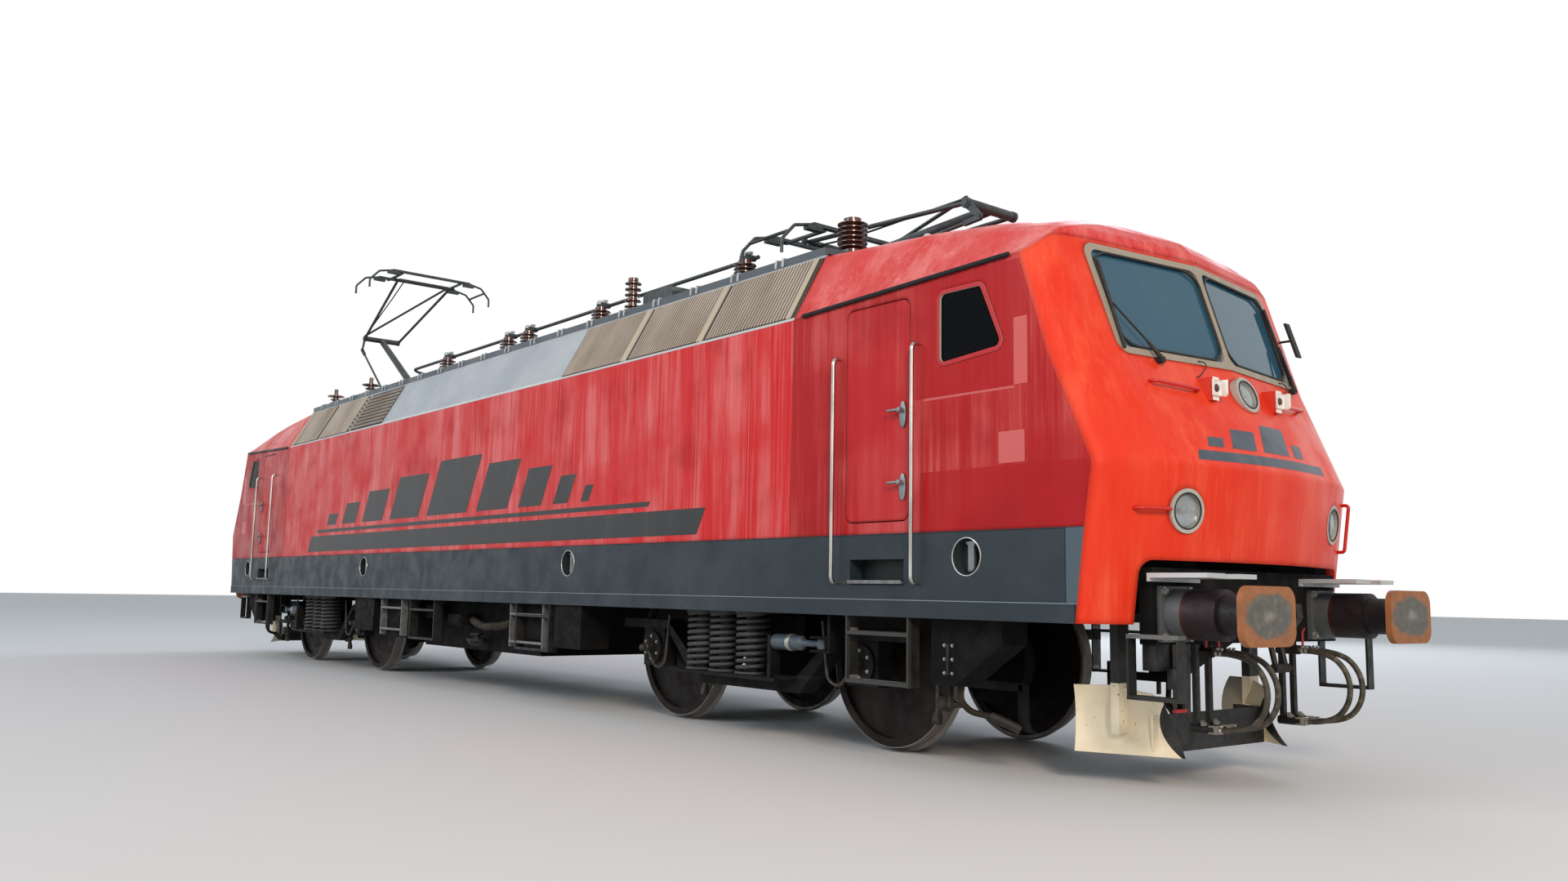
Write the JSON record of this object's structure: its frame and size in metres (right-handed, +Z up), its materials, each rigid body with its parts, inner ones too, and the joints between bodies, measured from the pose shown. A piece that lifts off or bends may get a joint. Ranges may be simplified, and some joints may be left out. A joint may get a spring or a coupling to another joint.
{
  "type": "electric locomotive",
  "caption": "Four-axle electric locomotive with a cab at each end, two swivelling bogies, hinged cab doors and two half-scissor pantographs on the roof.",
  "frame": {"origin": "under the middle of the vehicle, level with the lowest points of the wheel flanges", "axes": "+X along the vehicle towards cab 1, +Y to the left seen from the driver of cab 1, +Z up"},
  "size_m": [19.2, 3.12, 5.9374],
  "materials": {
    "body_red": "satin",
    "sill_grey": "satin",
    "roof_grey": "matte",
    "underframe_black": "matte",
    "bogie_black": "matte",
    "interior_grey": "matte",
    "frame_grey": "satin",
    "window_glass": "gloss",
    "lamp_glass": "gloss",
    "grille_metal": "satin",
    "rail_steel": "satin",
    "step_steel": "matte",
    "buffer_steel": "satin",
    "coupling_steel": "matte",
    "guard_cream": "matte",
    "gutter_rubber": "matte",
    "hose_rubber": "matte",
    "seat_steel": "satin",
    "seat_fabric": "matte",
    "insulator_brown": "gloss",
    "conductor_grey": "satin",
    "wheel_steel": "satin"
  },
  "bodies": {
    "carbody": {"brake_hose_1": "hose_rubber", "brake_hose_2": "hose_rubber", "brake_hose_3": "hose_rubber", "brake_hose_4": "hose_rubber", "brake_hose_5": "hose_rubber", "brake_hose_6": "hose_rubber", "brake_hose_7": "hose_rubber", "brake_hose_8": "hose_rubber", "buffer_barrels": "underframe_black", "buffer_heads": "buffer_steel", "busbar_and_switch": "conductor_grey", "cab_bulkheads": "interior_grey", "cab_fronts": "body_red", "cab_glass": "window_glass", "cab_roofs": "body_red", "cab_sides": "body_red", "cross_beams": "underframe_black", "driver_desks": "interior_grey", "floor_plate": "underframe_black", "grab_rails": "rail_steel", "hose_cocks": "coupling_steel", "lamp_housings": "frame_grey", "lamp_lenses": "lamp_glass", "pantograph_bases": "conductor_grey", "rail_guards": "guard_cream", "roof_hatches": "roof_grey", "roof_insulators": "insulator_brown", "screw_couplings": "coupling_steel", "seat_cushions": "seat_fabric", "seat_frames": "seat_steel", "side_walls": "body_red", "solebars": "sill_grey", "steps_and_ladders": "step_steel", "transformer_tank": "underframe_black", "underfloor_equipment": "underframe_black", "vent_grilles": "grille_metal", "window_frames": "frame_grey", "wipers_and_mirrors": "gutter_rubber"},
    "bogie_1": {"bogie_1_frame": "bogie_black", "bogie_1_suspension": "bogie_black", "bogie_1_motors": "bogie_black"},
    "pantograph_1_lower": {"pantograph_1_lower_arm": "conductor_grey"},
    "pantograph_1_upper": {"pantograph_1_upper_arm": "conductor_grey"},
    "pantograph_1_collector": {"pantograph_1_head": "conductor_grey"},
    "pantograph_1_rod": {"pantograph_1_control_rod": "conductor_grey"},
    "door_1_left": {"cab_1_door_left": "body_red"},
    "door_1_right": {"cab_1_door_right": "body_red"},
    "bogie_2": {"bogie_2_frame": "bogie_black", "bogie_2_suspension": "bogie_black", "bogie_2_motors": "bogie_black"},
    "pantograph_2_lower": {"pantograph_2_lower_arm": "conductor_grey"},
    "pantograph_2_upper": {"pantograph_2_upper_arm": "conductor_grey"},
    "pantograph_2_collector": {"pantograph_2_head": "conductor_grey"},
    "pantograph_2_rod": {"pantograph_2_control_rod": "conductor_grey"},
    "door_2_left": {"cab_2_door_left": "body_red"},
    "door_2_right": {"cab_2_door_right": "body_red"},
    "wheels_1": {"wheelset_1": "wheel_steel"},
    "wheels_2": {"wheelset_2": "wheel_steel"},
    "wheels_3": {"wheelset_3": "wheel_steel"},
    "wheels_4": {"wheelset_4": "wheel_steel"}
  },
  "joints": [
    {"name": "bogie_1_swivel", "type": "hinge", "parent": "carbody", "child": "bogie_1", "pos_m": [5.1, 0, 0.73], "axis": [0, 0, 1], "range_deg": [-3, 3]},
    {"name": "bogie_2_swivel", "type": "hinge", "parent": "carbody", "child": "bogie_2", "pos_m": [-5.1, 0, 0.73], "axis": [0, 0, 1], "range_deg": [-3, 3]},
    {"name": "wheels_1_roll", "type": "hinge", "parent": "bogie_1", "child": "wheels_1", "pos_m": [6.5, 0, 0.655], "axis": [0, 1, 0], "continuous": true},
    {"name": "wheels_2_roll", "type": "hinge", "parent": "bogie_1", "child": "wheels_2", "pos_m": [3.7, 0, 0.655], "axis": [0, 1, 0], "continuous": true},
    {"name": "wheels_3_roll", "type": "hinge", "parent": "bogie_2", "child": "wheels_3", "pos_m": [-3.7, 0, 0.655], "axis": [0, 1, 0], "continuous": true},
    {"name": "wheels_4_roll", "type": "hinge", "parent": "bogie_2", "child": "wheels_4", "pos_m": [-6.5, 0, 0.655], "axis": [0, 1, 0], "continuous": true},
    {"name": "door_1_left_swing", "type": "hinge", "parent": "carbody", "child": "door_1_left", "pos_m": [6.714, 1.416, 2.43], "axis": [0, 0, -1], "range_deg": [0, 85]},
    {"name": "door_1_right_swing", "type": "hinge", "parent": "carbody", "child": "door_1_right", "pos_m": [6.714, -1.416, 2.43], "axis": [0, 0, 1], "range_deg": [0, 85]},
    {"name": "door_2_left_swing", "type": "hinge", "parent": "carbody", "child": "door_2_left", "pos_m": [-6.714, 1.416, 2.43], "axis": [0, 0, 1], "range_deg": [0, 85]},
    {"name": "door_2_right_swing", "type": "hinge", "parent": "carbody", "child": "door_2_right", "pos_m": [-6.714, -1.416, 2.43], "axis": [0, 0, -1], "range_deg": [0, 85]},
    {"name": "pantograph_1_raise", "type": "hinge", "parent": "carbody", "child": "pantograph_1_lower", "pos_m": [4.909, 0, 4.18], "axis": [0, -1, 0], "range_deg": [0, 41.5]},
    {"name": "pantograph_1_knee", "type": "hinge", "parent": "pantograph_1_lower", "child": "pantograph_1_upper", "pos_m": [6.78549, 0, 4.29477], "axis": [0, -1, 0], "range_deg": [-70.05, 0.5]},
    {"name": "pantograph_1_level", "type": "hinge", "parent": "pantograph_1_upper", "child": "pantograph_1_collector", "pos_m": [4.99586, 0, 4.33086], "axis": [0, -1, 0], "range_deg": [-0.5, 28.55]},
    {"name": "pantograph_1_control", "type": "hinge", "parent": "carbody", "child": "pantograph_1_rod", "pos_m": [5.269, 0, 4.01], "axis": [0, -1, 0], "range_deg": [-0.5, 47.4]},
    {"name": "pantograph_2_raise", "type": "hinge", "parent": "carbody", "child": "pantograph_2_lower", "pos_m": [-4.909, 0, 4.18], "axis": [0, 1, 0], "range_deg": [-29.8, 11.7]},
    {"name": "pantograph_2_knee", "type": "hinge", "parent": "pantograph_2_lower", "child": "pantograph_2_upper", "pos_m": [-6.48032, 0, 5.21216], "axis": [0, 1, 0], "range_deg": [-20.11, 50.45]},
    {"name": "pantograph_2_level", "type": "hinge", "parent": "pantograph_2_upper", "child": "pantograph_2_collector", "pos_m": [-4.81259, 0, 5.86238], "axis": [0, 1, 0], "range_deg": [-20.64, 8.41]},
    {"name": "pantograph_2_control", "type": "hinge", "parent": "carbody", "child": "pantograph_2_rod", "pos_m": [-5.269, 0, 4.01], "axis": [0, 1, 0], "range_deg": [-34.17, 13.72]}
  ],
  "couplings": [
    {"joint": "pantograph_1_knee", "follows": "pantograph_1_raise", "ratio": -1.676},
    {"joint": "pantograph_1_level", "follows": "pantograph_1_raise", "ratio": 0.676},
    {"joint": "pantograph_1_control", "follows": "pantograph_1_raise", "ratio": 1.13},
    {"joint": "pantograph_2_knee", "follows": "pantograph_2_raise", "ratio": -1.676},
    {"joint": "pantograph_2_level", "follows": "pantograph_2_raise", "ratio": 0.676},
    {"joint": "pantograph_2_control", "follows": "pantograph_2_raise", "ratio": 1.13}
  ]
}
